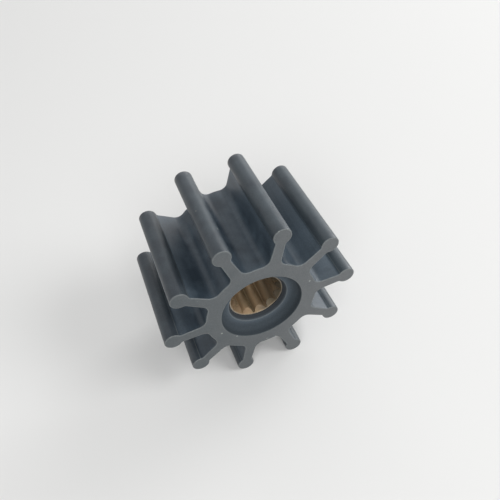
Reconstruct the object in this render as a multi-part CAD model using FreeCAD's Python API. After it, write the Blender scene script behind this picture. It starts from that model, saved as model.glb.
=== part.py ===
import FreeCAD, Part
import math
import os

# Flexible impeller for an engine cooling water pump.
# Frame: +Y runs along the shaft axis, +Z is up, +X is to the right seen from the front.
# The origin is the centre of the bore, half way along the moulding.
# At rest the impeller stands on the two vanes either side of straight down.
# All lengths are in millimetres and all angles in degrees.

# Rubber moulding
TIP_DIAMETER = 57.2
BODY_WIDTH = 34.1
VANE_COUNT = 10
HUB_DIAMETER = 32.9
VANE_THICKNESS = 2.96
VANE_DRAFT = 2.1
BEAD_DIAMETER = 5.15
ROOT_FILLET = 2.45
NECK_FILLET = 1.2

# Recess in each end face, down to the ring of rubber that holds the insert
RECESS_DIAMETER = 23.9
RECESS_WALL_DRAFT = 6.0
RECESS_FILLET = 2.0
RECESS_FLOOR_DROP = 0.5
LIP_DIAMETER = 17.7
LIP_DEPTH = 3.15
WINDOW_DIAMETER = 16.1

# Brass insert
INSERT_DEPTH = 4.7
INSERT_WALL = 2.1
INSERT_CORNER = 0.4
TOOTH_COUNT = 12
TOOTH_PHASE = 8.4
SPLINE_MAJOR_DIAMETER = 15.3
SPLINE_MINOR_DIAMETER = 12.8
GROOVE_ROUND = 0.4
LEAD_IN_ANGLE = 45.0
LEAD_IN_RIM = 0.25

# Sizes that follow from the ones above
HALF_WIDTH = BODY_WIDTH / 2
HUB_RADIUS = HUB_DIAMETER / 2
BEAD_RADIUS = BEAD_DIAMETER / 2
BEAD_CENTRE = TIP_DIAMETER / 2 - BEAD_RADIUS
VANE_PITCH = 360.0 / VANE_COUNT
FIRST_VANE = VANE_PITCH / 2
INSERT_RADIUS = SPLINE_MAJOR_DIAMETER / 2 + INSERT_WALL
INSERT_HALF_LENGTH = HALF_WIDTH - INSERT_DEPTH


def polar(radius, angle, y):
    """A point at a radius and an angle, clockwise from +Z as seen from the front."""
    turn = math.radians(angle)
    return FreeCAD.Vector(radius * math.sin(turn), y, radius * math.cos(turn))


def in_plane(along, across, angle, y):
    """A point set out from the axis along a spoke at an angle, then square to the spoke."""
    return polar(along, angle, y) + polar(across, angle + 90, y) - FreeCAD.Vector(0, y, 0)


def arc_edge(start, middle, end):
    """An arc through three points."""
    return Part.Arc(start, middle, end).toShape()


def line_edge(start, end):
    """A straight edge between two points."""
    return Part.LineSegment(start, end).toShape()


def on_circle(centre, radius, toward):
    """The point of a circle that lies in the direction of another point, in flat coordinates."""
    dx = toward[0] - centre[0]
    dy = toward[1] - centre[1]
    reach = math.hypot(dx, dy)
    return (centre[0] + radius * dx / reach, centre[1] + radius * dy / reach)


def vane_side():
    """One side of a vane as tangent pieces, in flat coordinates along and across the spoke.

    The straight flank lies at a distance from the axis line that shrinks by the draft towards
    the tip. A fillet joins it to the round hub and a smaller one joins it to the round bead.
    """
    draft = math.radians(VANE_DRAFT)
    normal = (math.sin(draft), math.cos(draft))
    outward = (math.cos(draft), -math.sin(draft))
    offset = VANE_THICKNESS / 2 * math.cos(draft) + (BEAD_CENTRE - BEAD_RADIUS) * math.sin(draft)

    def beside(distance, along):
        return (distance * normal[0] + along * outward[0], distance * normal[1] + along * outward[1])

    root_rise = offset + ROOT_FILLET
    root_along = math.sqrt((HUB_RADIUS + ROOT_FILLET) ** 2 - root_rise ** 2)
    root_centre = beside(root_rise, root_along)
    neck_rise = offset + NECK_FILLET
    bead_rise = BEAD_CENTRE * normal[0]
    bead_along = BEAD_CENTRE * outward[0]
    neck_along = bead_along - math.sqrt((BEAD_RADIUS + NECK_FILLET) ** 2 - (neck_rise - bead_rise) ** 2)
    neck_centre = beside(neck_rise, neck_along)

    hub_end = on_circle((0, 0), HUB_RADIUS, root_centre)
    flank_start = beside(offset, root_along)
    flank_end = beside(offset, neck_along)
    bead_start = on_circle((BEAD_CENTRE, 0), BEAD_RADIUS, neck_centre)
    root_chord = ((hub_end[0] + flank_start[0]) / 2, (hub_end[1] + flank_start[1]) / 2)
    neck_chord = ((flank_end[0] + bead_start[0]) / 2, (flank_end[1] + bead_start[1]) / 2)
    root_middle = on_circle(root_centre, ROOT_FILLET, root_chord)
    neck_middle = on_circle(neck_centre, NECK_FILLET, neck_chord)
    return [hub_end, root_middle, flank_start, flank_end, neck_middle, bead_start]


def body_outline(y):
    """The closed outline of the hub and its vanes, with every piece tangent to the next."""
    side = vane_side()
    edges = []
    for index in range(VANE_COUNT):
        angle = FIRST_VANE + index * VANE_PITCH
        left = [in_plane(along, -across, angle, y) for along, across in side]
        right = [in_plane(along, across, angle, y) for along, across in side]
        next_hub = in_plane(side[0][0], -side[0][1], angle + VANE_PITCH, y)
        edges.append(arc_edge(left[0], left[1], left[2]))
        edges.append(line_edge(left[2], left[3]))
        edges.append(arc_edge(left[3], left[4], left[5]))
        edges.append(arc_edge(left[5], polar(TIP_DIAMETER / 2, angle, y), right[5]))
        edges.append(arc_edge(right[5], right[4], right[3]))
        edges.append(line_edge(right[3], right[2]))
        edges.append(arc_edge(right[2], right[1], right[0]))
        edges.append(arc_edge(right[0], polar(HUB_RADIUS, angle + VANE_PITCH / 2, y), next_hub))
    return Part.Wire(edges)


def revolved(edges):
    """A solid of revolution about the shaft axis from closed edges in the plane of X and Y."""
    face = Part.Face(Part.Wire(edges))
    return face.revolve(FreeCAD.Vector(0, 0, 0), FreeCAD.Vector(0, 1, 0), 360)


def recess_tool():
    """What is taken out of the front end: the dished recess and the window onto the insert.

    The wall draws in a little from the mouth and turns through a fillet into a floor that
    falls gently to the lip, where a short steep step goes down to the face of the insert.
    """
    mouth = RECESS_DIAMETER / 2
    lip = LIP_DIAMETER / 2
    window = WINDOW_DIAMETER / 2
    wall_tilt = math.radians(RECESS_WALL_DRAFT)
    floor_run = mouth - lip
    floor_tilt = math.atan2(RECESS_FLOOR_DROP, floor_run)
    corner_depth = (LIP_DEPTH - RECESS_FLOOR_DROP) / (1 - math.tan(wall_tilt) * math.tan(floor_tilt))
    corner_radius = mouth - corner_depth * math.tan(wall_tilt)
    bend = math.pi / 2 - wall_tilt - floor_tilt
    setback = RECESS_FILLET * math.tan(bend / 2)

    def at(radius, depth):
        return FreeCAD.Vector(radius, depth - HALF_WIDTH, 0)

    up_wall = (math.sin(wall_tilt), -math.cos(wall_tilt))
    down_floor = (-math.cos(floor_tilt), math.sin(floor_tilt))
    wall_end = (corner_radius + setback * up_wall[0], corner_depth + setback * up_wall[1])
    floor_start = (corner_radius + setback * down_floor[0], corner_depth + setback * down_floor[1])
    inside = (up_wall[0] + down_floor[0], up_wall[1] + down_floor[1])
    reach = math.hypot(inside[0], inside[1])
    sagitta = RECESS_FILLET * (1 / math.cos(bend / 2) - 1)
    middle = (corner_radius + sagitta * inside[0] / reach, corner_depth + sagitta * inside[1] / reach)
    edges = [
        line_edge(at(0, 0), at(mouth, 0)),
        line_edge(at(mouth, 0), at(*wall_end)),
        arc_edge(at(*wall_end), at(*middle), at(*floor_start)),
        line_edge(at(*floor_start), at(lip, LIP_DEPTH)),
        line_edge(at(lip, LIP_DEPTH), at(window, INSERT_DEPTH)),
        line_edge(at(window, INSERT_DEPTH), at(0, INSERT_DEPTH)),
        line_edge(at(0, INSERT_DEPTH), at(0, 0)),
    ]
    return revolved(edges)


def insert_blank():
    """The plain sleeve before its teeth are cut, with its two outer corners taken off."""
    end = INSERT_HALF_LENGTH
    corner = INSERT_CORNER
    points = [(0, -end), (INSERT_RADIUS - corner, -end), (INSERT_RADIUS, corner - end)]
    points += [(INSERT_RADIUS, end - corner), (INSERT_RADIUS - corner, end), (0, end)]
    corners = [FreeCAD.Vector(radius, y, 0) for radius, y in points]
    return revolved([line_edge(corners[i - 1], corners[i]) for i in range(len(corners))])


def tooth_outline(y):
    """The closed outline of the splined bore: round teeth pointing inwards and narrow grooves.

    Each tooth is one arc. Its radius is the one that lets it touch both neighbouring groove
    arcs, from the law of cosines in the triangle of the axis and the two arc centres.
    """
    half_pitch = math.pi / TOOTH_COUNT
    crest = SPLINE_MINOR_DIAMETER / 2
    groove_centre = SPLINE_MAJOR_DIAMETER / 2 - GROOVE_ROUND
    spoke = groove_centre * math.cos(half_pitch)
    spread = crest ** 2 + groove_centre ** 2 - 2 * crest * spoke - GROOVE_ROUND ** 2
    tooth_round = spread / (2 * (spoke + GROOVE_ROUND - crest))
    tooth_centre = crest + tooth_round
    groove = (spoke, groove_centre * math.sin(half_pitch))
    touch = on_circle((tooth_centre, 0), tooth_round, groove)
    pitch = 360.0 / TOOTH_COUNT
    edges = []
    for index in range(TOOTH_COUNT):
        angle = FIRST_VANE + TOOTH_PHASE + index * pitch
        start = in_plane(touch[0], -touch[1], angle, y)
        end = in_plane(touch[0], touch[1], angle, y)
        following = in_plane(touch[0], -touch[1], angle + pitch, y)
        root = polar(SPLINE_MAJOR_DIAMETER / 2, angle + pitch / 2, y)
        edges.append(arc_edge(start, polar(crest, angle, y), end))
        edges.append(arc_edge(end, root, following))
    return Part.Wire(edges)


def lead_in_tool():
    """The cone taken off the front ends of the teeth so that the shaft finds its way in."""
    radius = WINDOW_DIAMETER / 2 - LEAD_IN_RIM
    depth = radius * math.tan(math.radians(LEAD_IN_ANGLE))
    mouth = FreeCAD.Vector(radius, -INSERT_HALF_LENGTH, 0)
    centre = FreeCAD.Vector(0, -INSERT_HALF_LENGTH, 0)
    point = FreeCAD.Vector(0, depth - INSERT_HALF_LENGTH, 0)
    return revolved([line_edge(centre, mouth), line_edge(mouth, point), line_edge(point, centre)])


def both_ends(tool):
    """A tool for the front end together with its mirror image for the back end."""
    return [tool, tool.mirror(FreeCAD.Vector(0, 0, 0), FreeCAD.Vector(0, 1, 0))]


def rubber_moulding():
    """The hub with its vanes, its recesses and the seat that is moulded round the insert."""
    outline = body_outline(-HALF_WIDTH)
    body = Part.Face(outline).extrude(FreeCAD.Vector(0, BODY_WIDTH, 0))
    body = body.cut(insert_blank())
    return body.cut(both_ends(recess_tool()))


def brass_insert():
    """The sleeve with its splined bore and a lead-in cone at each end."""
    bore = Part.Face(tooth_outline(-INSERT_HALF_LENGTH))
    bore = bore.extrude(FreeCAD.Vector(0, 2 * INSERT_HALF_LENGTH, 0))
    sleeve = insert_blank().cut(bore)
    return sleeve.cut(both_ends(lead_in_tool()))


def main():
    """Build both pieces and write one file for each."""
    os.makedirs("parts", exist_ok=True)
    pieces = {"rubber_impeller": rubber_moulding(), "splined_insert": brass_insert()}
    for name, shape in pieces.items():
        print(name, shape.isValid(), len(shape.Solids), round(shape.Volume, 1))
        shape.exportStep(f"parts/{name}.step")


main()
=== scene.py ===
"""Looks of a water pump impeller: a ten-vane rubber moulding round a splined brass sleeve.

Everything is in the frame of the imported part: +Y along the shaft axis away from the camera,
+Z up, origin at the centre of the bore. Sizes are written in millimetres and turned to metres
when a mesh, a lamp or a pattern is made.
"""
import logging
import math
from dataclasses import dataclass, field
from enum import Enum
from typing import NamedTuple

import bpy
import numpy as np
from mathutils import Matrix, Vector


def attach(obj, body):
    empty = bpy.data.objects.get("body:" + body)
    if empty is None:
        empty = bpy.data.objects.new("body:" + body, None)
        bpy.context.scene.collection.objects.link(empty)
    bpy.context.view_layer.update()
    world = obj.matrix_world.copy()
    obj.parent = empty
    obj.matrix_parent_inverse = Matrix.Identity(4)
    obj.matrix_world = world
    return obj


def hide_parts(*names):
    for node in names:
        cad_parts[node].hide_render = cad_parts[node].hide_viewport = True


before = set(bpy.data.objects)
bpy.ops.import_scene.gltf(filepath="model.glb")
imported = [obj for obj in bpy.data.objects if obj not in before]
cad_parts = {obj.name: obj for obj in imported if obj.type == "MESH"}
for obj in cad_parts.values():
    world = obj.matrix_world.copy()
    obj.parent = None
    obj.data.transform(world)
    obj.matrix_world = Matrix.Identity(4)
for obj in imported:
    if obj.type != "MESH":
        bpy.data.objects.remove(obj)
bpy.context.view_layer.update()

LOG = logging.getLogger("impeller")
MM = 0.001
# lengths in millimetres that differ by less than this count as the same
NEAR = 0.01

Socket = bpy.types.NodeSocket
Tree = bpy.types.NodeTree
Colour = tuple[float, float, float, float]


class End(Enum):
    """The two ends of the moulding along the shaft axis."""

    FRONT = -1.0
    BACK = 1.0


class Ramp(NamedTuple):
    """A range of a value and the range it becomes, held at both ends."""

    low: float
    high: float
    to_low: float
    to_high: float


# Small helpers


def linear(hex_colour: str) -> Colour:
    """Turns an sRGB hex colour into a linear one, by the curve of the sRGB standard.

    Args:
        hex_colour: six hex digits with a leading mark.

    Returns:
        Red, green, blue and alpha.
    """
    values = [int(hex_colour[i : i + 2], 16) / 255 for i in (1, 3, 5)]
    red, green, blue = (v / 12.92 if v <= 0.04045 else ((v + 0.055) / 1.055) ** 2.4 for v in values)
    return red, green, blue, 1.0


def per_mm(length: float) -> float:
    """The scale of a pattern whose features are this many millimetres wide."""
    return 1.0 / (length * MM)


def arc(centre: np.ndarray, start: np.ndarray, stop: np.ndarray, count: int) -> np.ndarray:
    """Points along the shorter arc about a centre, both ends included.

    The angle runs evenly from the start's to the stop's, and the radius is the start's.

    Args:
        centre: the arc's centre.
        start: its first point.
        stop: a point in the direction of its last one.
        count: how many points.

    Returns:
        An array of points.
    """
    first = math.atan2(start[1] - centre[1], start[0] - centre[0])
    last = math.atan2(stop[1] - centre[1], stop[0] - centre[0])
    turn = (last - first + math.pi) % (2 * math.pi) - math.pi
    angles = first + turn * np.linspace(0, 1, count)
    radius = math.hypot(start[0] - centre[0], start[1] - centre[1])
    return centre + radius * np.column_stack([np.cos(angles), np.sin(angles)])


def add_node(
    tree: Tree,
    kind: str,
    inputs: dict[str | int, float | tuple | Socket] | None = None,
    **settings: str | bool,
) -> bpy.types.Node:
    """Adds a node with its settings, its values and its links.

    Args:
        tree: the node tree.
        kind: the node's type name.
        inputs: socket name or number to a value, or to the output socket that feeds it.
        settings: properties of the node.

    Returns:
        The node.
    """
    node = tree.nodes.new(kind)
    for key, value in settings.items():
        setattr(node, key, value)
    for key, value in (inputs or {}).items():
        if isinstance(value, Socket):
            tree.links.new(value, node.inputs[key])
        else:
            node.inputs[key].default_value = value
    return node


def new_material(name: str) -> tuple[bpy.types.Material, Tree]:
    """Makes a material whose node tree is still empty.

    Args:
        name: the material's name.

    Returns:
        The material and its tree.
    """
    made = bpy.data.materials.new(name)
    made.use_nodes = True
    made.node_tree.nodes.clear()
    return made, made.node_tree


@dataclass
class Shell:
    """The vertices, in millimetres, and the faces of one surface, gathered block by block."""

    blocks: list[np.ndarray] = field(default_factory=list)
    faces: list[np.ndarray] = field(default_factory=list)

    @property
    def points(self) -> np.ndarray:
        """All vertices so far, in the order of their numbers."""
        return np.concatenate(self.blocks)

    def add(self, points: np.ndarray) -> np.ndarray:
        """Adds vertices and numbers them.

        Args:
            points: an array of any shape whose last axis holds the three coordinates.

        Returns:
            The vertex numbers, in the same arrangement.
        """
        taken = sum(len(block) for block in self.blocks)
        self.blocks.append(points.reshape(-1, 3))
        return np.arange(taken, taken + len(self.blocks[-1])).reshape(points.shape[:-1])

    def join(self, rings: list[np.ndarray]) -> None:
        """Adds the four-cornered faces between each closed ring of vertices and the next.

        Args:
            rings: arrays of vertex numbers that all run the same way round.
        """
        for first, second in zip(rings, rings[1:]):
            corners = [first, np.roll(first, -1), np.roll(second, -1), second]
            self.faces.append(np.column_stack(corners))

    def lay(self, name: str, marks: dict[str, np.ndarray]) -> bpy.types.Object:
        """Puts the surface into a new object at the origin.

        Args:
            name: the object's name.
            marks: values for each vertex that the finishes read.

        Returns:
            The object, smooth shaded.
        """
        mesh = bpy.data.meshes.new(name)
        points = self.points
        corners = np.concatenate([block.ravel() for block in self.faces])
        totals = np.concatenate([np.full(len(block), block.shape[1]) for block in self.faces])
        mesh.vertices.add(len(points))
        mesh.vertices.foreach_set("co", (points * MM).ravel())
        mesh.loops.add(len(corners))
        mesh.loops.foreach_set("vertex_index", corners)
        mesh.polygons.add(len(totals))
        starts = np.concatenate([[0], np.cumsum(totals)[:-1]])
        mesh.polygons.foreach_set("loop_start", starts)
        mesh.polygons.foreach_set("use_smooth", np.ones(len(totals), bool))
        for label, values in marks.items():
            layer = mesh.attributes.new(label, "FLOAT", "POINT")
            layer.data.foreach_set("value", values.astype(np.float32))
        mesh.update(calc_edges=True)
        mesh.validate()
        made = bpy.data.objects.new(name, mesh)
        bpy.context.scene.collection.objects.link(made)
        return made


# Finishes


# Nitrile rubber, moulded in a blasted steel tool and ground to width on its two end faces. The
# tool gives the eye a dark skin with a dull sheen and a fine grain. Grinding leaves flat grey
# faces with pale flecks. Use adds bloom and rubbed beads. Painted light makes the skin and faces
# paler to the right and the flanks under the upper beads lighter, painted shade darkens the front
# of the skin, the recess towards its wall and the step down to the sleeve, and the lip of each
# recess carries a painted highlight.
@dataclass(frozen=True)
class MouldedRubber:
    """The rubber's colours, patterns, wear and painted shading, and the material made from them."""

    name: str = "moulded nitrile rubber"
    skin_dark: str = "#343f49"
    skin_light: str = "#46525c"
    worn_dark: str = "#353b41"
    worn_light: str = "#3f474c"
    face_plain: str = "#454b4e"
    face_bloomed_and_lit: str = "#575a5c"
    # the cored recess, whose darker colour towards the wall is painted shade
    core_skin: str = "#424b53"
    core_shade: str = "#2d353b"
    lit_neck: str = "#5a6670"
    step_shade: str = "#1d2024"
    fleck: str = "#8f9390"

    ior: float = 1.52
    specular_level: float = 0.42
    skin_roughness: float = 0.4
    face_roughness: float = 0.4
    core_roughness: float = 0.85

    cloud_mm: float = 4.5
    streak_mm: float = 0.6
    streak_length_mm: float = 20.0
    fleck_cell_mm: float = 4.0
    # a blasted tool's grain is nearer 0.1 mm, too fine to show, so it is drawn coarser
    grain_mm: float = 0.35
    grain_height_mm: float = 0.02
    grain_strength: float = 0.6

    # from a noise: cloudy tone, speckle of the grain, streaks along the vanes, uneven gloss
    mottle: Ramp = Ramp(0.35, 0.65, 0.0, 1.0)
    speckle: Ramp = Ramp(0.35, 0.65, 0.9, 1.1)
    streak: Ramp = Ramp(0.35, 0.65, 0.94, 1.06)
    uneven: Ramp = Ramp(0.3, 0.7, -0.06, 0.06)
    # from a place, all of it painted light and shade: painted light makes the skin and faces paler
    # to the right and the flanks under the higher beads lighter, and painted shade darkens the
    # front
    # 9 mm of the skin
    skin_side_light: Ramp = Ramp(-25.0 * MM, 25.0 * MM, -0.4, 0.5)
    face_side_light: Ramp = Ramp(-25.0 * MM, 25.0 * MM, -0.4, 0.4)
    upper_light: Ramp = Ramp(-8.0 * MM, 12.0 * MM, 0.0, 0.75)
    front_shade: Ramp = Ramp(-17.05 * MM, -8.0 * MM, 0.76, 1.0)
    # how far each place takes on its own colour: the rubbed beads, the cored recess, the painted
    # shade on the step, the flash line, and the edges, worn pale and on the lip a painted highlight
    bead_share: float = 0.85
    core_share: float = 0.85
    step_shade_share: float = 0.75
    flash_share: float = 0.25
    edge_share: float = 0.22
    # from the distance to a cell's middle: a fleck's edge, and which cells stay without one
    fleck_spot: Ramp = Ramp(0.05, 0.09, 0.55, 0.0)
    fleck_none: float = 0.72
    square_spot: Ramp = Ramp(0.05, 0.09, 0.8, 0.0)
    square_none: float = 0.8

    def material(self) -> bpy.types.Material:
        """Builds the material.

        Returns:
            The rubber with its grain, its ground faces, its wear and its flecks.
        """
        made, tree = new_material(self.name)
        place = add_node(tree, "ShaderNodeTexCoord").outputs["Object"]
        x, y, z = add_node(tree, "ShaderNodeSeparateXYZ", {"Vector": place}).outputs
        stretch = (1.0, self.streak_mm / self.streak_length_mm, 1.0)
        along = add_node(tree, "ShaderNodeMapping", {"Vector": place, "Scale": stretch}).outputs[0]
        cloud, grain, drawn = (
            add_node(
                tree,
                "ShaderNodeTexNoise",
                {"Vector": vector, "Scale": per_mm(width), "Detail": detail},
            ).outputs["Fac"]
            for vector, width, detail in (
                (place, self.cloud_mm, 3.0),
                (place, self.grain_mm, 2.0),
                (along, self.streak_mm, 2.0),
            )
        )
        edge, ground, bead, flash, neck, step, corner, core = (
            add_node(tree, "ShaderNodeAttribute", attribute_name=mark).outputs["Fac"]
            for mark in ("edge", "ground", "bead", "flash", "neck", "step", "corner", "core")
        )
        sources = {
            "mottle": (cloud, self.mottle),
            "speckle": (grain, self.speckle),
            "streak": (drawn, self.streak),
            "uneven": (cloud, self.uneven),
            "skin side light": (x, self.skin_side_light),
            "face side light": (x, self.face_side_light),
            "upper_light": (z, self.upper_light),
            "front_shade": (y, self.front_shade),
            "bead": (bead, Ramp(0.0, 1.0, 0.0, self.bead_share)),
            "core": (core, Ramp(0.0, 1.0, 0.0, self.core_share)),
            "step_shade": (step, Ramp(0.0, 1.0, 0.0, self.step_shade_share)),
            "flash": (flash, Ramp(0.0, 1.0, 0.0, self.flash_share)),
            "edge": (edge, Ramp(0.0, 1.0, 0.0, self.edge_share)),
            "gloss": (core, Ramp(0.0, 1.0, self.skin_roughness, self.core_roughness)),
        }
        eased = {
            label: add_node(
                tree, "ShaderNodeMapRange", dict(enumerate((source, *ramp))), clamp=True
            ).outputs[0]
            for label, (source, ramp) in sources.items()
        }
        # tone and bloom are random cloud plus painted light that makes the right side paler, the
        # neck share paints light on the flanks under the upper beads, and the streaks are darkened
        # at the front of the skin by painted shade
        tone, bloom_and_side_light, neck_light, streak_and_shade = (
            add_node(
                tree, "ShaderNodeMath", {0: first, 1: second}, operation=operation, use_clamp=held
            ).outputs[0]
            for first, second, operation, held in (
                (eased["mottle"], eased["skin side light"], "ADD", True),
                (cloud, eased["face side light"], "ADD", True),
                (neck, eased["upper_light"], "MULTIPLY", False),
                (eased["streak"], eased["front_shade"], "MULTIPLY", False),
            )
        )
        # the skin and worn colours follow the tone and the face follows the bloom, each with its
        # painted side light, and the recess darkens towards its wall as painted shade
        skin, worn, face, recess = (
            add_node(
                tree,
                "ShaderNodeMix",
                {0: share, 6: linear(first), 7: linear(second)},
                data_type="RGBA",
            ).outputs[2]
            for share, first, second in (
                (tone, self.skin_dark, self.skin_light),
                (tone, self.worn_dark, self.worn_light),
                (bloom_and_side_light, self.face_plain, self.face_bloomed_and_lit),
                (corner, self.core_skin, self.core_shade),
            )
        )
        # painted light on the flanks under the upper beads
        lit_skin = add_node(
            tree, "ShaderNodeMix", {0: neck_light, 6: skin, 7: linear(self.lit_neck)}, data_type="RGBA"
        ).outputs[2]
        # the streaks and the painted shade at the front of the skin set the brightness
        colour = add_node(
            tree, "ShaderNodeHueSaturation", {"Color": lit_skin, "Value": streak_and_shade}
        ).outputs[0]

        # the step layer is painted shade, and the edge layer is worn pale except on the lip, where
        # it is a painted highlight
        layers = [
            (eased["bead"], worn),
            (eased["core"], recess),
            (eased["step_shade"], linear(self.step_shade)),
            (eased["flash"], linear(self.fleck)),
            (ground, face),
            (eased["edge"], linear(self.fleck)),
        ]
        # a fleck lies in the middle of some cells. On the ground faces they are flat squares.
        flat = add_node(tree, "ShaderNodeCombineXYZ", {"X": x, "Y": z}).outputs[0]
        for vector, space, spot, none, where in (
            (place, "3D", self.fleck_spot, self.fleck_none, 1.0),
            (flat, "2D", self.square_spot, self.square_none, ground),
        ):
            inputs = {"Vector": vector, "Scale": per_mm(self.fleck_cell_mm)}
            cells = add_node(tree, "ShaderNodeTexVoronoi", inputs, voronoi_dimensions=space).outputs
            inputs = dict(enumerate((cells["Distance"], *spot)))
            share = add_node(tree, "ShaderNodeMapRange", inputs, clamp=True).outputs[0]
            inputs = {0: cells["Color"], 1: none}
            chosen = add_node(tree, "ShaderNodeMath", inputs, operation="GREATER_THAN").outputs[0]
            for limit in (chosen, where):
                inputs = {0: share, 1: limit}
                share = add_node(tree, "ShaderNodeMath", inputs, operation="MULTIPLY").outputs[0]
            layers.append((share, linear(self.fleck)))
        for share, over in layers:
            inputs = {0: share, 6: colour, 7: over}
            colour = add_node(tree, "ShaderNodeMix", inputs, data_type="RGBA").outputs[2]
        inputs = {"Color": colour, "Value": eased["speckle"]}
        grained = add_node(tree, "ShaderNodeHueSaturation", inputs).outputs[0]

        inputs = {0: ground, 2: eased["gloss"], 3: self.face_roughness}
        even = add_node(tree, "ShaderNodeMix", inputs, data_type="FLOAT").outputs[0]
        inputs = {0: even, 1: eased["uneven"]}
        rough = add_node(tree, "ShaderNodeMath", inputs, operation="ADD").outputs[0]
        inputs = {
            "Strength": self.grain_strength,
            "Distance": self.grain_height_mm * MM,
            "Height": grain,
        }
        bump = add_node(tree, "ShaderNodeBump", inputs).outputs[0]
        inputs = {
            "Base Color": grained,
            "Roughness": rough,
            "IOR": self.ior,
            "Specular IOR Level": self.specular_level,
            "Normal": bump,
        }
        shader = add_node(tree, "ShaderNodeBsdfPrincipled", inputs).outputs[0]
        add_node(tree, "ShaderNodeOutputMaterial", {"Surface": shader})
        return made


# Leaded brass bar, drilled, broached and turned, then left to dull. Broaching gives the eye fine
# lines along the teeth, turning leaves a bright narrow rim, and air browns the metal in patches
# that shine less. Painted shade darkens the right side of the teeth, the lead-in and the rim.
@dataclass(frozen=True)
class MachinedBrass:
    """The brass's colours, tool lines, stains and painted shade, and the material made from them.
    """

    name: str = "machined brass"
    clean: str = "#b8a182"
    brown: str = "#a4896a"
    film: str = "#706a54"
    oxide: str = "#57503f"
    bore_shade: str = "#555148"
    lead_in: str = "#7e6951"
    turned: str = "#a0978a"
    right_shade: str = "#3b372d"

    stain_mm: float = 2.5
    film_mm: float = 5.0
    drawn_out: float = 25.0
    # broach lines are nearer 0.05 mm apart, too fine to show, so they are drawn coarser
    line_mm: float = 0.18
    line_height_mm: float = 0.012
    line_strength: float = 0.7

    # from a noise: brown stain with less metal and less gloss, and a thin film in long patches
    stained: Ramp = Ramp(0.35, 0.7, 0.0, 1.0)
    metal: Ramp = Ramp(0.35, 0.7, 0.85, 0.45)
    gloss: Ramp = Ramp(0.35, 0.7, 0.44, 0.6)
    filmed: Ramp = Ramp(0.48, 0.62, 0.0, 0.5)
    # from a place across the bore: painted shade on the right side of the teeth, lead-in and rim
    bore_shaded: Ramp = Ramp(0.0, 4.5 * MM, 0.0, 0.5)
    lead_in_shaded: Ramp = Ramp(-3.5 * MM, 2.5 * MM, 0.0, 0.9)
    rim_shaded: Ramp = Ramp(-1.0 * MM, 5.0 * MM, 0.0, 0.5)
    # from how deep a place lies between the teeth, and from the lead-in's mark
    oxidised: Ramp = Ramp(0.1, 0.95, 0.0, 0.25)
    coned: Ramp = Ramp(0.0, 1.0, 0.0, 0.9)

    def material(self) -> bpy.types.Material:
        """Builds the material.

        Returns:
            The brass with its tool lines, its brown stain and the painted shade on its right side.
        """
        made, tree = new_material(self.name)
        place = add_node(tree, "ShaderNodeTexCoord").outputs["Object"]
        x = add_node(tree, "ShaderNodeSeparateXYZ", {"Vector": place}).outputs["X"]
        stretch = (1.0, 1.0 / self.drawn_out, 1.0)
        along = add_node(tree, "ShaderNodeMapping", {"Vector": place, "Scale": stretch}).outputs[0]
        lines, stain, film = (
            add_node(
                tree,
                "ShaderNodeTexNoise",
                {"Vector": vector, "Scale": per_mm(width), "Detail": detail},
            ).outputs["Fac"]
            for vector, width, detail in (
                (along, self.line_mm, 2.0),
                (place, self.stain_mm, 4.0),
                (along, self.film_mm, 3.0),
            )
        )
        cone, groove, rim = (
            add_node(tree, "ShaderNodeAttribute", attribute_name=mark).outputs["Fac"]
            for mark in ("cone", "groove", "rim")
        )
        sources = {
            "stained": (stain, self.stained),
            "metal": (stain, self.metal),
            "gloss": (stain, self.gloss),
            "filmed": (film, self.filmed),
            "oxidised": (groove, self.oxidised),
            "bore_shaded": (x, self.bore_shaded),
            "lead_in_shaded": (x, self.lead_in_shaded),
            "rim shaded": (x, self.rim_shaded),
            "coned": (cone, self.coned),
        }
        eased = {
            label: add_node(
                tree, "ShaderNodeMapRange", dict(enumerate((source, *ramp))), clamp=True
            ).outputs[0]
            for label, (source, ramp) in sources.items()
        }
        # the lead-in and the rim darken to the right, as painted shade
        colour, lead_in, turned = (
            add_node(
                tree,
                "ShaderNodeMix",
                {0: eased[label], 6: linear(first), 7: linear(second)},
                data_type="RGBA",
            ).outputs[2]
            for label, first, second in (
                ("stained", self.clean, self.brown),
                ("lead_in_shaded", self.lead_in, self.right_shade),
                ("rim shaded", self.turned, self.right_shade),
            )
        )
        # the bore darkens to the right, as painted shade
        for share, over in (
            (eased["filmed"], linear(self.film)),
            (eased["oxidised"], linear(self.oxide)),
            (eased["bore_shaded"], linear(self.bore_shade)),
            (eased["coned"], lead_in),
            (rim, turned),
        ):
            inputs = {0: share, 6: colour, 7: over}
            colour = add_node(tree, "ShaderNodeMix", inputs, data_type="RGBA").outputs[2]
        inputs = {
            "Strength": self.line_strength,
            "Distance": self.line_height_mm * MM,
            "Height": lines,
        }
        bump = add_node(tree, "ShaderNodeBump", inputs).outputs[0]
        inputs = {
            "Base Color": colour,
            "Metallic": eased["metal"],
            "Roughness": eased["gloss"],
            "Normal": bump,
        }
        shader = add_node(tree, "ShaderNodeBsdfPrincipled", inputs).outputs[0]
        add_node(tree, "ShaderNodeOutputMaterial", {"Surface": shader})
        return made


# Uncoated card, pressed and matt. It gives the eye an even pale ground that keeps the shadow.
@dataclass(frozen=True)
class PaleCard:
    """The floor's colour and gloss, and the material made from them."""

    name: str = "pale card"
    colour: str = "#e0e0df"
    roughness: float = 0.9

    def material(self) -> bpy.types.Material:
        """Builds the material.

        Returns:
            The card.
        """
        made, tree = new_material(self.name)
        inputs = {"Base Color": linear(self.colour), "Roughness": self.roughness}
        shader = add_node(tree, "ShaderNodeBsdfPrincipled", inputs).outputs[0]
        add_node(tree, "ShaderNodeOutputMaterial", {"Surface": shader})
        return made


# The two pieces


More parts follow.
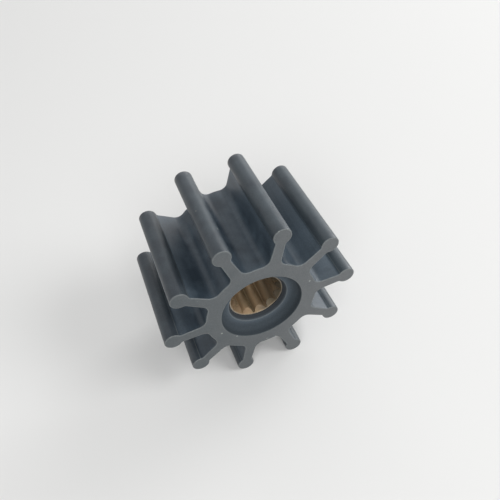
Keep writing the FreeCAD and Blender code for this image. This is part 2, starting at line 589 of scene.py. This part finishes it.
@dataclass
class RubberMoulding:
    """The hub, its vanes and the two dished recesses, as one closed surface."""

    tip_diameter: float = 57.2
    width: float = 34.1
    vane_count: int = 10
    hub_diameter: float = 32.9
    vane_thickness: float = 2.96
    vane_draft: float = 2.1
    bead_diameter: float = 5.15
    root_fillet: float = 2.45
    neck_fillet: float = 1.2
    flash_height: float = 0.05
    edge_round: float = 0.25
    recess_diameter: float = 23.9
    recess_wall_draft: float = 6.0
    recess_fillet: float = 2.0
    recess_floor_drop: float = 0.5
    lip_diameter: float = 17.7
    lip_depth: float = 3.15
    lip_round: float = 0.25
    window_diameter: float = 16.1
    seat_depth: float = 4.7
    seat_diameter: float = 19.5
    seat_land: float = 0.1
    seat_corner: float = 0.4
    finish: MouldedRubber = field(default_factory=MouldedRubber)

    # how finely each stretch of the outline and of the section is cut
    root_steps: int = 11
    flank_steps: int = 7
    neck_steps: int = 7
    bead_steps: int = 26
    hub_steps: int = 14
    edge_steps: int = 6
    body_steps: int = 17
    fillet_steps: int = 13
    wall_steps: int = 2
    floor_steps: int = 4
    strip_columns: int = 8
    # one row more lies this far in on a flat face, so that its shading stays flat
    flat_margin: float = 0.08
    # shares of the way from the hub's edge to the recess, and down the step to the sleeve
    ring_shares: tuple[float, ...] = (0.35, 0.7, 1.0)
    step_shares: tuple[float, ...] = (0.3, 0.6, 0.85, 1.0)

    # how wide the marks of wear fade and how strong they are away from the front edges, how strong
    # and wide the painted highlight on the lip is, how fast the painted shade deepens down the step
    # and where the painted shade on the recess starts and how wide it fades, and how far past the
    # mouth the cored surface reaches
    bead_fade: float = 1.2
    back_wear: float = 0.3
    mouth_wear: float = 0.6
    lip_highlight: float = 0.7
    lip_highlight_reach: float = 0.2
    step_shade_rise: float = 3.0
    core_shade_start: float = 0.35
    core_shade_fade: float = 1.6
    core_margin: float = 0.3
    # points of the outline, counted from the flash line towards the tip, where the painted light
    # starts half way up the flank, is full at the neck, begins to fade and ends
    lit_neck_points: tuple[int, ...] = (-10, -4, 0, 2)

    def half_vane(self) -> tuple[np.ndarray, np.ndarray]:
        """One side of a vane, from the hub to the tip of its bead.

        A fillet rises from the hub circle into a straight flank, whose distance from the axis
        line shrinks by the draft. A second fillet turns it into the bead, a circle about a
        centre on the spoke. Normals point out of the rubber: towards a fillet's centre, square
        to the flank, and away from the bead's centre.

        Returns:
            Points and normals, each along and across the spoke.
        """
        draft = math.radians(self.vane_draft)
        hub = self.hub_diameter / 2
        bead = self.bead_diameter / 2
        centre = self.tip_diameter / 2 - bead
        normal = np.array([math.sin(draft), math.cos(draft)])
        outward = np.array([math.cos(draft), -math.sin(draft)])
        offset = self.vane_thickness / 2 * math.cos(draft) + (centre - bead) * math.sin(draft)
        root_rise = offset + self.root_fillet
        root_along = math.sqrt((hub + self.root_fillet) ** 2 - root_rise**2)
        root_centre = root_rise * normal + root_along * outward
        neck_rise = offset + self.neck_fillet
        reach = (bead + self.neck_fillet) ** 2 - (neck_rise - centre * normal[0]) ** 2
        neck_along = centre * outward[0] - math.sqrt(reach)
        neck_centre = neck_rise * normal + neck_along * outward
        middle = np.array([centre, 0.0])

        hub_end = root_centre * hub / np.linalg.norm(root_centre)
        flank_start = offset * normal + root_along * outward
        flank_end = offset * normal + neck_along * outward
        away = neck_centre - middle
        bead_start = middle + away * bead / np.linalg.norm(away)
        root = arc(root_centre, hub_end, flank_start, self.root_steps)
        shares = np.linspace(0, 1, self.flank_steps + 2)[1:-1, None]
        flank = flank_start + (flank_end - flank_start) * shares
        neck = arc(neck_centre, flank_end, bead_start, self.neck_steps)
        angle = math.atan2(bead_start[1], bead_start[0] - centre)
        turn = np.linspace(angle, 0, self.bead_steps + 1)[1:]
        round_end = middle + bead * np.column_stack([np.cos(turn), np.sin(turn)])
        neck[-1] += self.flash_height * away / np.linalg.norm(away)
        points = np.vstack([root, flank, neck, round_end])
        normals = np.vstack(
            [
                (root_centre - root) / self.root_fillet,
                np.tile(normal, (len(flank), 1)),
                (neck_centre - neck) / self.neck_fillet,
                (round_end - middle) / bead,
            ]
        )
        return points, normals

    def outline(self) -> tuple[np.ndarray, np.ndarray]:
        """The whole outline in the plane of X and Z, clockwise from the front, with normals.

        Each sector is a vane's left side up to the tip, its right side back to the hub, and the
        hub arc to the next vane. Turning a sector by the vane's angle sends along to the spoke
        and across to the square of the spoke.

        Returns:
            Points and normals, sector by sector.
        """
        points, normals = self.half_vane()
        left = points * [1, -1]
        hub_start = math.atan2(points[0, 1], points[0, 0])
        pitch = 2 * math.pi / self.vane_count
        hub_angles = np.linspace(hub_start, pitch - hub_start, self.hub_steps + 2)[1:-1]
        hub_normals = np.column_stack([np.cos(hub_angles), np.sin(hub_angles)])
        sector = np.vstack([left, points[-2::-1], hub_normals * self.hub_diameter / 2])
        sector_normals = np.vstack([normals * [1, -1], normals[-2::-1], hub_normals])
        angles = pitch / 2 + pitch * np.arange(self.vane_count)
        spoke = np.column_stack([np.sin(angles), np.cos(angles)])[:, None, :]
        square = np.column_stack([np.cos(angles), -np.sin(angles)])[:, None, :]
        spread, spread_normals = (
            (pairs[None, :, :1] * spoke + pairs[None, :, 1:] * square).reshape(-1, 2)
            for pairs in (sector, sector_normals)
        )
        return spread, spread_normals

    def skin_rows(self) -> np.ndarray:
        """Height along the axis and inset of each row of the skin, from the front to the back.

        The edge is a quarter circle: the inset falls as one minus the sine, while the depth
        rises as one minus the cosine.

        Returns:
            Pairs of height and inset.
        """
        half = self.width / 2
        turn = np.linspace(0, math.pi / 2, self.edge_steps)
        corner = np.column_stack([1 - np.cos(turn), 1 - np.sin(turn)]) * self.edge_round
        front = np.vstack([[0.0, self.edge_round + self.flat_margin], corner]) + [-half, 0]
        reach = half - self.edge_round
        straight = np.linspace(-reach, reach, self.body_steps + 2)[1:-1]
        body = np.column_stack([straight, np.zeros_like(straight)])
        back = (front * [-1, 1])[::-1]
        return np.vstack([front, body, back])

    def bore_rows(self) -> np.ndarray:
        """Radius and height of each ring inside, from the back mouth to the front mouth.

        Seen in section: a rounded mouth, a wall that draws in, a fillet, a floor that falls to
        the lip, the rounded lip, the short step down to the sleeve, and the seat that follows
        the sleeve's outside.

        Returns:
            Pairs of radius and height along the axis.
        """
        mouth = self.recess_diameter / 2
        lip = self.lip_diameter / 2
        window = self.window_diameter / 2
        tilt = math.radians(self.recess_wall_draft)
        fall = math.atan2(self.recess_floor_drop, mouth - lip)
        sharp_depth = self.lip_depth - self.recess_floor_drop
        corner_depth = sharp_depth / (1 - math.tan(tilt) * math.tan(fall))
        corner = np.array([mouth - corner_depth * math.tan(tilt), corner_depth])
        up_wall = np.array([math.sin(tilt), -math.cos(tilt)])
        down_floor = np.array([-math.cos(fall), math.sin(fall)])
        bend = math.pi / 2 - tilt - fall
        setback = self.recess_fillet * math.tan(bend / 2)
        inside = up_wall + down_floor
        reach = self.recess_fillet / math.cos(bend / 2)
        centre = corner + inside / np.linalg.norm(inside) * reach
        wall_end = corner + setback * up_wall
        floor_start = corner + setback * down_floor
        fillet = arc(centre, wall_end, floor_start, self.fillet_steps)

        small = self.edge_round
        turn = np.linspace(0, math.pi / 2, self.edge_steps)[:, None]
        quarter = small * np.hstack([1 - np.sin(turn), 1 - np.cos(turn)])
        mouth_round = np.array([mouth, 0.0]) + quarter
        flat = np.array([[mouth + small + self.flat_margin, 0.0]])
        shares = np.linspace(0, 1, self.wall_steps + 2)[1:-1, None]
        wall = mouth_round[-1] + (wall_end - mouth_round[-1]) * shares
        step = np.array([window - lip, self.seat_depth - self.lip_depth])
        down_step = step / np.linalg.norm(step)
        edge = np.array([lip, self.lip_depth])
        before = edge - down_floor * self.lip_round
        after = edge + down_step * self.lip_round
        bow = np.linspace(0, 1, self.edge_steps)[:, None]
        lip_round = (1 - bow) ** 2 * before + 2 * bow * (1 - bow) * edge + bow**2 * after
        shares = np.linspace(0, 1, self.floor_steps + 2)[1:-1, None]
        floor = floor_start + (before - floor_start) * shares
        foot = np.array([window, self.seat_depth])
        stepdown = after + (foot - after) * np.array(self.step_shares)[:, None]
        seat = self.seat_diameter / 2
        hidden = np.array(
            [
                [window + self.seat_land, self.seat_depth],
                [seat - self.seat_corner, self.seat_depth],
                [seat, self.seat_depth + self.seat_corner],
            ]
        )
        rows = [flat, mouth_round, wall, fillet, floor, lip_round, stepdown, hidden]
        front = np.vstack(rows) - [0, self.width / 2]
        return np.vstack([front * [1, -1], front[::-1]])

    def vane_ends(self, shell: Shell, row: np.ndarray, end: End) -> np.ndarray:
        """Adds the flat end of each vane, as rungs from its left side to its right.

        Args:
            shell: the surface so far.
            row: the vertex numbers of the skin's last row at this end.
            end: which end it is.

        Returns:
            The vertex numbers of the closed border at the hub.
        """
        half = len(self.half_vane()[0])
        by_vane = row.reshape(self.vane_count, 2 * half - 1 + self.hub_steps)
        left = by_vane[:, : half - 1]
        right = by_vane[:, 2 * half - 2 : half - 1 : -1]
        hub = by_vane[:, 2 * half - 1 :]
        shares = np.linspace(0, 1, self.strip_columns + 1)[1:-1, None]
        starts, stops = shell.points[left][:, :, None], shell.points[right][:, :, None]
        rungs = shell.add(starts + (stops - starts) * shares)
        grid = np.concatenate([left[..., None], rungs, right[..., None]], axis=2)
        corners = [grid[:, :-1, :-1], grid[:, :-1, 1:], grid[:, 1:, 1:], grid[:, 1:, :-1]]
        quads = np.stack(corners, axis=-1).reshape(-1, 4)
        last = grid[:, -1]
        tips = np.broadcast_to(by_vane[:, half - 1, None], last[:, 1:].shape)
        fans = np.stack([last[:, :-1], last[:, 1:], tips], axis=-1).reshape(-1, 3)
        way = 1 if end is End.FRONT else -1
        shell.faces += [quads[:, ::way], fans[:, ::way]]
        return np.concatenate([grid[:, 0, :], hub], axis=1).ravel()

    def hub_end(self, shell: Shell, border: np.ndarray, end: End) -> tuple[np.ndarray, np.ndarray]:
        """Adds the flat end of the hub, as rings that fade from its border to the recess.

        A ring's point lies the same share of the way from a border point to the point of the
        mouth's circle at the same angle.

        Args:
            shell: the surface so far.
            border: the vertex numbers of the closed border at the hub.
            end: which end it is.

        Returns:
            The vertex numbers of the last ring, and the angle of each of its points.
        """
        outer = shell.points[border]
        angles = np.arctan2(outer[:, 0], outer[:, 2])
        circle = np.column_stack([np.sin(angles), np.zeros_like(angles), np.cos(angles)])
        radius = self.bore_rows()[0, 0]
        inner = circle * radius + [0, end.value * self.width / 2, 0]
        previous = border
        for share in self.ring_shares:
            ring = shell.add(outer + (inner - outer) * share)
            shell.join([ring, previous] if end is End.FRONT else [previous, ring])
            previous = ring
        return previous, angles

    def marks(self, points: np.ndarray, around: int, angles: int) -> dict[str, np.ndarray]:
        """Values from 0 to 1 for each vertex that the finish reads.

        The skin comes first in the vertices, then the two ends, then the rings of the bore.

        Args:
            points: all vertices.
            around: how many of them each row of the skin has.
            angles: how many of them each ring of the bore has.

        Returns:
            Each mark's name with its values.
        """
        half = self.width / 2
        rows = self.skin_rows()
        depth = half - np.abs(self.bore_rows()[1:-1, 1])
        skin_count = len(rows) * around
        end_count = len(points) - skin_count - len(depth) * angles
        rounded = (rows[:, 1] > NEAR) & (rows[:, 1] < self.edge_round + NEAR)
        edge = [
            np.repeat(rounded * np.where(rows[:, 0] < 0, 1.0, self.back_wear), around),
            np.zeros(end_count),
            np.repeat((depth < self.edge_round - NEAR) * self.mouth_wear, angles),
        ]
        ground = [
            np.repeat(np.clip(rows[:, 1] / self.edge_round, 0, 1), around),
            np.ones(end_count),
            np.repeat((depth < 2 * NEAR).astype(float), angles),
        ]

        side = len(self.half_vane()[0])
        neck_end = self.root_steps + self.flank_steps + self.neck_steps - 1
        parting = np.zeros((self.vane_count, around // self.vane_count))
        parting[:, [neck_end, 2 * side - 2 - neck_end]] = 1.0
        flash = np.tile(parting.ravel(), len(rows)) * (1 - ground[0])
        # the flanks below each bead take painted light, which the finish keeps to the upper beads
        lit_neck = np.interp(np.arange(side), neck_end + np.array(self.lit_neck_points), [0, 1, 1, 0])
        lit_neck = np.concatenate([lit_neck, lit_neck[-2::-1], np.zeros(self.hub_steps)])
        neck = np.tile(lit_neck, self.vane_count * len(rows))
        outline = self.outline()[0]
        reach = np.hypot(outline[:, 0], outline[:, 1]) - self.tip_diameter / 2 + self.bead_diameter
        bead = np.tile(np.clip(reach / self.bead_fade, 0, 1), len(rows))

        past_lip = np.hypot(points[:, 0], points[:, 2]) - self.lip_diameter / 2
        past_mouth = np.hypot(points[:, 0], points[:, 2]) - self.recess_diameter / 2
        below_lip = half - np.abs(points[:, 1]) - self.lip_depth
        # a painted highlight along the lip of each recess
        on_lip = (np.abs(past_lip) < self.lip_highlight_reach) & (np.abs(below_lip) < self.lip_highlight_reach)
        sunk = below_lip / (self.seat_depth - self.lip_depth) * self.step_shade_rise
        skin_only = {
            label: np.pad(values, (0, len(points) - skin_count))
            for label, values in (("bead", bead), ("flash", flash), ("neck", neck))
        }
        return {
            # the edges are worn pale, and on the lip the edge mark is a painted highlight
            "edge": np.maximum(np.concatenate(edge), on_lip * self.lip_highlight),
            "ground": np.concatenate(ground),
            **skin_only,
            # painted shade: the step darkens downwards, and the recess darkens from the lip towards
            # its wall
            "step": np.clip(sunk, 0, 1) * (past_lip < 5 * NEAR),
            "corner": np.clip((past_lip - self.core_shade_start) / self.core_shade_fade, 0, 1),
            "core": (past_mouth < self.core_margin).astype(float),
        }

    def build(self) -> bpy.types.Object:
        """Makes the closed surface.

        The skin is the outline set in by each row's inset along its normals. The ends of the
        vanes and the hub close it towards the recesses, and the rings inside the bore run from
        the back recess to the front one.

        Returns:
            The finished object.
        """
        shell = Shell()
        outline, normals = self.outline()
        rows = self.skin_rows()
        flat = outline[None] - rows[:, 1, None, None] * normals[None]
        heights = np.broadcast_to(rows[:, 0, None], flat.shape[:2])
        skin = shell.add(np.stack([flat[..., 0], heights, flat[..., 1]], axis=-1))
        shell.join(list(skin))
        mouths = {}
        for end, row in ((End.FRONT, skin[0]), (End.BACK, skin[-1])):
            border = self.vane_ends(shell, row, end)
            mouths[end], angles = self.hub_end(shell, border, end)
        inside = self.bore_rows()[1:-1]
        circle = np.column_stack([np.sin(angles), np.cos(angles)])
        tube = circle[None] * inside[:, 0, None, None]
        heights = np.broadcast_to(inside[:, 1, None], tube.shape[:2])
        rings = shell.add(np.stack([tube[..., 0], heights, tube[..., 1]], axis=-1))
        shell.join([mouths[End.BACK], *rings, mouths[End.FRONT]])
        made = shell.lay("rubber_moulding", self.marks(shell.points, len(outline), len(angles)))
        made.data.materials.append(self.finish.material())
        return made


@dataclass
class SplinedSleeve:
    """The brass sleeve with round teeth pointing inwards and a lead-in cone at each end."""

    length: float = 24.7
    outside_diameter: float = 19.5
    corner: float = 0.4
    tooth_count: int = 12
    first_tooth: float = 26.4
    major_diameter: float = 15.3
    minor_diameter: float = 12.8
    groove_round: float = 0.4
    lead_in_diameter: float = 15.6
    rim_edge: float = 0.05
    finish: MachinedBrass = field(default_factory=MachinedBrass)

    # how finely a tooth, the cone and half the bore are cut
    tooth_steps: int = 32
    cone_shares: tuple[float, ...] = (0.04, 0.2, 0.4, 0.6, 0.8, 0.95, 1.0)
    bore_shares: tuple[float, ...] = (0.99, 0.8, 0.6, 0.4, 0.2)
    # the cone's mark is full within this share of its depth
    cone_fade: float = 1 / 12

    def bore_radius(self, angles: np.ndarray) -> np.ndarray:
        """The radius of the splined wall at each angle from a tooth's middle.

        A ray from the axis meets a tooth's arc at its near side, b minus the root of b squared
        less c, and a groove's arc at its far side, b plus that root, where b is the centre's
        reach along the ray.

        Args:
            angles: angles in radians, within half a pitch of a tooth's middle.

        Returns:
            A radius for each angle.
        """
        half_pitch = math.pi / self.tooth_count
        crest = self.minor_diameter / 2
        groove = self.major_diameter / 2 - self.groove_round
        spoke = groove * math.cos(half_pitch)
        spread = crest**2 + groove**2 - 2 * crest * spoke - self.groove_round**2
        bulge = spread / (2 * (spoke + self.groove_round - crest))
        centre = crest + bulge
        across = groove * math.sin(half_pitch)
        reach = math.hypot(spoke - centre, across)
        touch = math.atan2(across * bulge / reach, centre + (spoke - centre) * bulge / reach)
        along = centre * np.cos(angles)
        tooth = along - np.sqrt(np.maximum(along**2 - centre**2 + bulge**2, 0))
        along = groove * np.cos(np.abs(angles) - half_pitch)
        hollow = along + np.sqrt(np.maximum(along**2 - groove**2 + self.groove_round**2, 0))
        return np.where(np.abs(angles) < touch, tooth, hollow)

    def build(self) -> bpy.types.Object:
        """Makes the sleeve as one closed grid, round the axis and round its section.

        At each angle the section runs in over the back face, down the back cone to the tooth's
        own radius, along the bore, out over the front cone and face, and back up the outside.
        The cone's depth at a radius is the lead-in radius less that radius.

        Returns:
            The finished object.
        """
        half_pitch = math.pi / self.tooth_count
        local = np.linspace(-half_pitch, half_pitch, self.tooth_steps + 1)[:-1]
        middles = math.radians(self.first_tooth) + 2 * half_pitch * np.arange(self.tooth_count)
        angles = (middles[:, None] + local[None]).ravel()
        wall = np.tile(self.bore_radius(local), self.tooth_count)
        even = np.ones_like(wall)
        half = self.length / 2
        lead = self.lead_in_diameter / 2
        outside = self.outside_diameter / 2

        face = [
            (radius * even, half * even)
            for radius in (outside - self.corner, lead + self.rim_edge, lead)
        ]
        slopes = [lead + (wall - lead) * share for share in self.cone_shares]
        cone = [(radius, half - (lead - radius)) for radius in slopes]
        depth = half - (lead - wall)
        bore = [(wall, depth * share) for share in self.bore_shares]
        back = face + cone + bore
        front = [(radius, -height) for radius, height in reversed(back)]
        heights = (self.corner - half, 0.0, half - self.corner)
        skin = [(outside * even, height * even) for height in heights]
        sections = [*back, (wall, 0.0 * even), *front, *skin]
        radii, heights = (np.array(rows) for rows in zip(*sections))
        shell = Shell()
        place = np.stack([radii * np.sin(angles), heights, radii * np.cos(angles)], axis=-1)
        numbers = shell.add(place)
        shell.join([*numbers, numbers[0]])

        reach = np.clip((lead - radii) / (lead - wall), 0, 1)
        on_cone = (half - np.abs(heights) < lead - radii + NEAR) & (radii < lead - NEAR)
        crest, root = self.minor_diameter / 2, self.major_diameter / 2
        on_rim = (np.abs(heights) > half - NEAR) & (radii > lead - NEAR)
        marks = {
            "cone": (on_cone * np.clip(reach / self.cone_fade, 0, 1)).ravel(),
            "groove": np.clip((radii - crest) / (root - crest), 0, 1).ravel(),
            "rim": on_rim.astype(float).ravel(),
        }
        made = shell.lay("splined_sleeve", marks)
        made.data.materials.append(self.finish.material())
        return made


# Camera, floor and light


@dataclass
class PhotoCamera:
    """A camera at the place, turn and lens that were worked out from the object's outline."""

    place_mm: tuple[float, float, float] = (-22.07, -101.6, 119.2)
    aim_mm: tuple[float, float, float] = (4.1, 2.256, 2.862)
    roll: float = -9.6
    lens: float = 37.94
    sensor: float = 36.0
    nearest_mm: float = 5.0
    farthest_mm: float = 20000.0

    def build(self) -> None:
        """Adds the camera and makes it the scene's."""
        data = bpy.data.cameras.new("camera")
        data.lens = self.lens
        data.sensor_width = self.sensor
        data.sensor_fit = "HORIZONTAL"
        data.clip_start = self.nearest_mm * MM
        data.clip_end = self.farthest_mm * MM
        made = bpy.data.objects.new("camera", data)
        bpy.context.scene.collection.objects.link(made)
        place = Vector(self.place_mm) * MM
        aim = (Vector(self.aim_mm) * MM - place).to_track_quat("-Z", "Y").to_matrix().to_4x4()
        turn = Matrix.Rotation(math.radians(self.roll), 4, "Z")
        made.matrix_world = Matrix.Translation(place) @ aim @ turn
        bpy.context.scene.camera = made


@dataclass
class SoftBox:
    """One square studio lamp that points at the object."""

    name: str
    azimuth: float
    elevation: float
    watts: float
    distance_mm: float = 1400.0
    size_mm: float = 600.0

    def build(self) -> None:
        """Adds the lamp. Azimuth 0 is on the camera's side and 90 is to the right."""
        data = bpy.data.lights.new(self.name, "AREA")
        data.shape = "SQUARE"
        data.size = self.size_mm * MM
        data.energy = self.watts
        made = bpy.data.objects.new(self.name, data)
        bpy.context.scene.collection.objects.link(made)
        turn, rise = math.radians(self.azimuth), math.radians(self.elevation)
        level = math.cos(rise)
        away = Vector((math.sin(turn) * level, -math.cos(turn) * level, math.sin(rise)))
        place = Matrix.Translation(away * self.distance_mm * MM)
        made.matrix_world = place @ away.to_track_quat("Z", "Y").to_matrix().to_4x4()


@dataclass
class Studio:
    """A wide pale floor under the two lowest beads, soft lamps and an even surround."""

    floor_height_mm: float = -27.34
    floor_size_mm: float = 2200.0
    surround: float = 0.34
    backdrop: float = 0.65
    card: PaleCard = field(default_factory=PaleCard)
    lamps: tuple[SoftBox, ...] = (
        SoftBox("high right", 60.0, 35.0, 9.34),
        SoftBox("front", 0.0, 35.0, 6.06),
        SoftBox("front left", -30.0, 35.0, 5.2),
        SoftBox("low right", 110.0, 12.0, 7.4),
        SoftBox("right back", 120.0, 35.0, 2.84),
        SoftBox("low back right", 155.0, 12.0, 2.4),
        SoftBox("low back", 180.0, 12.0, 3.0),
    )

    def build(self) -> None:
        """Adds the floor, the lamps and the world."""
        corners = np.array([[-1, -1, 0], [1, -1, 0], [1, 1, 0], [-1, 1, 0]], float)
        shell = Shell()
        place = corners * self.floor_size_mm / 2 + [0, 0, self.floor_height_mm]
        shell.faces.append(shell.add(place)[None])
        floor = shell.lay("floor", {})
        floor.data.materials.append(self.card.material())
        for lamp in self.lamps:
            lamp.build()

        world = bpy.data.worlds.new("surround")
        bpy.context.scene.world = world
        world.use_nodes = True
        tree = world.node_tree
        tree.nodes.clear()
        # the camera, reflections and clear things see a pale backdrop, while the object is lit
        # by the dimmer surround
        rays = add_node(tree, "ShaderNodeLightPath").outputs
        shown = rays["Is Camera Ray"]
        for kind in ("Is Glossy Ray", "Is Transmission Ray"):
            inputs = {0: shown, 1: rays[kind]}
            shown = add_node(tree, "ShaderNodeMath", inputs, operation="ADD").outputs[0]
        inputs = dict(enumerate((shown, *Ramp(0.0, 1.0, self.surround, self.backdrop))))
        level = add_node(tree, "ShaderNodeMapRange", inputs, clamp=True).outputs[0]
        inputs = {"Color": linear("#ffffff"), "Strength": level}
        sky = add_node(tree, "ShaderNodeBackground", inputs).outputs[0]
        add_node(tree, "ShaderNodeOutputWorld", {"Surface": sky})


def main() -> None:
    """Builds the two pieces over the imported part, then the studio and the camera."""
    logging.basicConfig(level=logging.INFO, format="%(message)s")
    for piece, node, slot in (
        (RubberMoulding(), "rubber_impeller", "moulded_rubber"),
        (SplinedSleeve(), "splined_insert", "brass"),
    ):
        made = piece.build()
        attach(made, "root")
        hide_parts(node)
        LOG.info("%s: %d faces", made.name, len(made.data.polygons))
    Studio().build()
    PhotoCamera().build()
    bpy.context.scene.view_settings.view_transform = "Standard"


if __name__ == "__main__":
    main()
